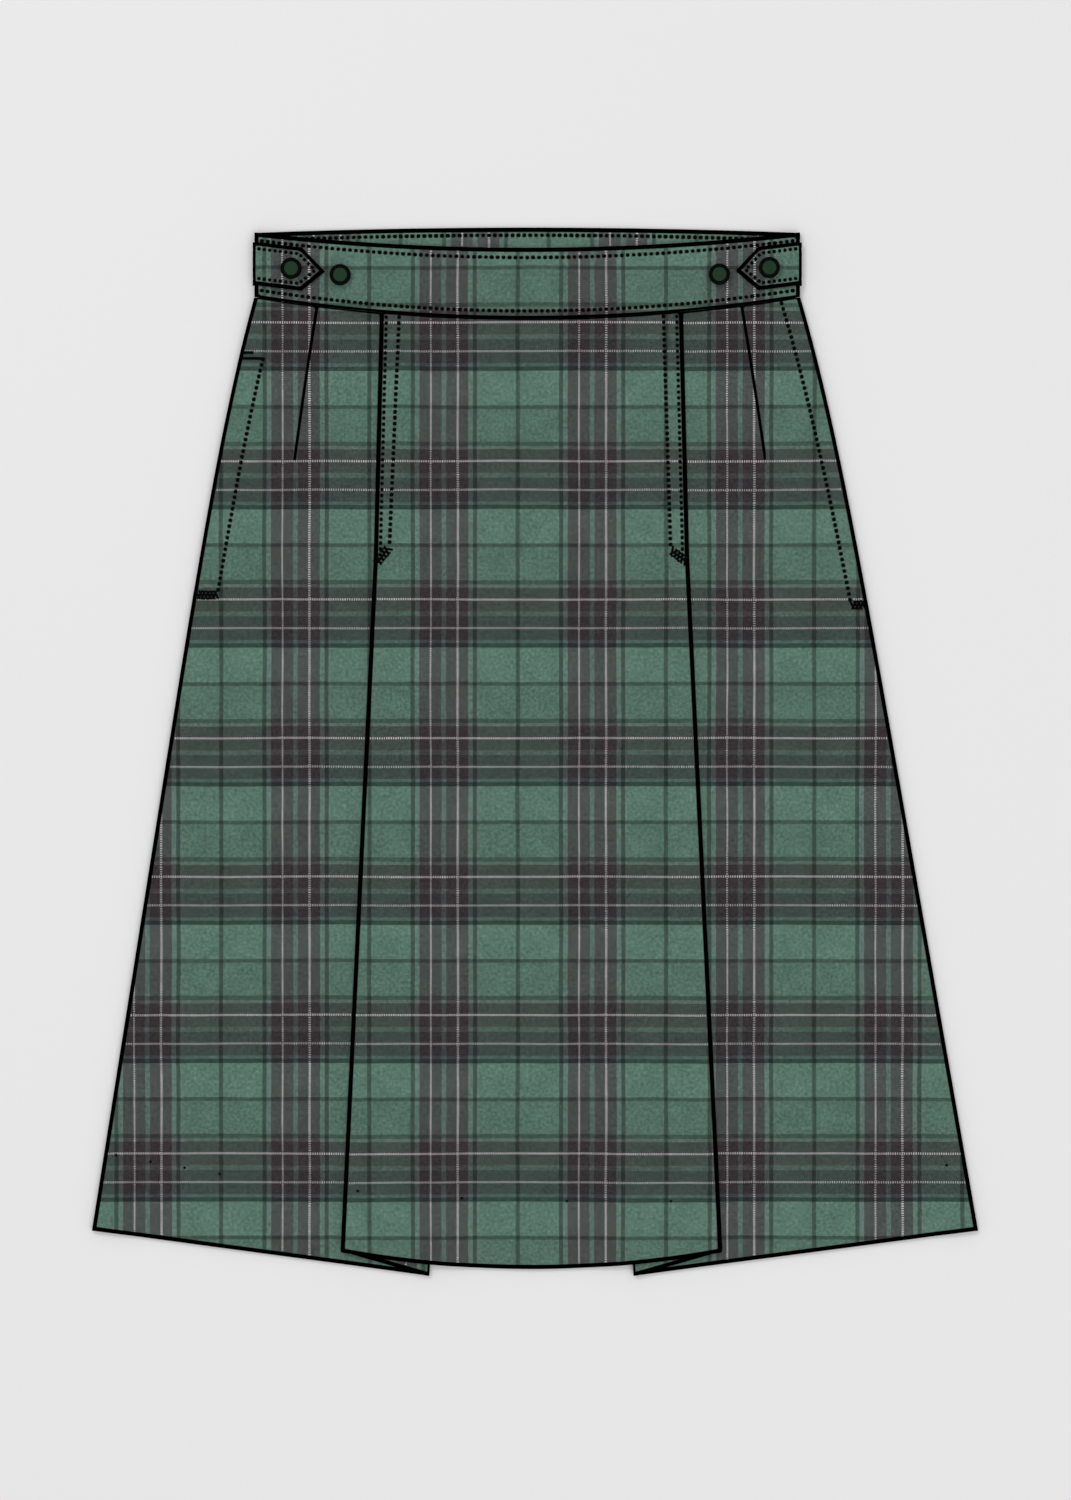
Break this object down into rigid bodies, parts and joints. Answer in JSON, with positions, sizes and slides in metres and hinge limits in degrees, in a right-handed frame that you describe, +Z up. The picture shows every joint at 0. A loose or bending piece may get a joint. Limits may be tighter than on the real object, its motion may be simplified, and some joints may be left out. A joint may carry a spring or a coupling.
{
  "type": "checked skirt",
  "caption": "Flared checked skirt laid flat, with a front panel between two pleats, a contoured waistband and buttoned tabs.",
  "frame": {"origin": "on the surface that the skirt lies on, under the middle of its length and of its hem", "axes": "+X to the wearer's left, +Y to the waist, +Z up, out of the skirt's front"},
  "size_m": [0.55, 0.6504, 0.0115],
  "materials": {
    "check_cloth": "woven twill in a green, charcoal and white check, matt with a slight fuzz",
    "button": "dark green polished resin",
    "pocket_lining": "plain smooth lining",
    "zip_tape": "woven tape",
    "zip_metal": "dull plated"
  },
  "bodies": {
    "root": {"back_panel": "check_cloth", "front_centre_panel": "check_cloth", "front_side_right": "check_cloth", "front_side_left": "check_cloth", "waistband_back": "check_cloth", "waistband_front": "check_cloth", "tab_right": "check_cloth", "tab_left": "check_cloth", "button_tab_right": "button", "button_tab_left": "button", "button_waistband_right": "button", "button_waistband_left": "button", "pocket_bag": "pocket_lining", "side_zip": "zip_tape", "zip_slider": "zip_metal"}
  },
  "joints": []
}
